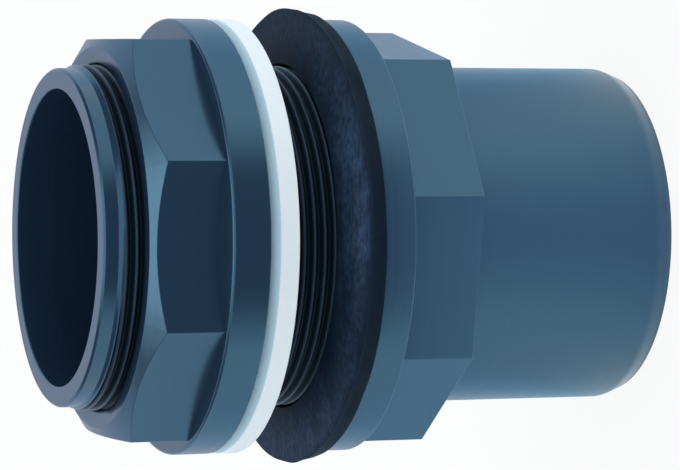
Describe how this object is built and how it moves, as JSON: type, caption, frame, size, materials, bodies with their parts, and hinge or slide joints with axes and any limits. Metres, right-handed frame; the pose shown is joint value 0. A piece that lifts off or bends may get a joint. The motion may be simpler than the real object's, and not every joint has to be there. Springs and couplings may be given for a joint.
{
  "type": "tank connector",
  "caption": "Plastic tank connector: a threaded tube with a flange, octagonal collar and plain spigot, sealed to a tank wall by a gasket, a washer and a flanged octagonal nut.",
  "frame": {"origin": "centre of the spigot's end face, on which the part stands", "axes": "+Z along the bore from the spigot to the threaded end; -Y faces the camera of the picture"},
  "size_m": [0.1012, 0.1012, 0.1301],
  "materials": {
    "grey_pvc": "satin moulded PVC-U",
    "black_rubber": "matt, cut from sheet",
    "white_polyethylene": "smooth, milky"
  },
  "bodies": {
    "body": {"connector_body": "grey_pvc", "gasket": "black_rubber"},
    "washer": {"slip_washer": "white_polyethylene"},
    "nut": {"backnut": "grey_pvc"}
  },
  "joints": [
    {"name": "washer_slide", "type": "slide", "parent": "body", "child": "washer", "axis": [0, 0, 1], "range_m": [-0.0143, 0.0238]},
    {"name": "nut_turn", "type": "hinge", "parent": "washer", "child": "nut", "pos_m": [0, 0, 0.1093], "axis": [0, 0, 1], "range_deg": [-2229, 3700]}
  ],
  "couplings": [
    {"joint": "washer_slide", "follows": "nut_turn", "m_per_rad": 0.00036749}
  ]
}
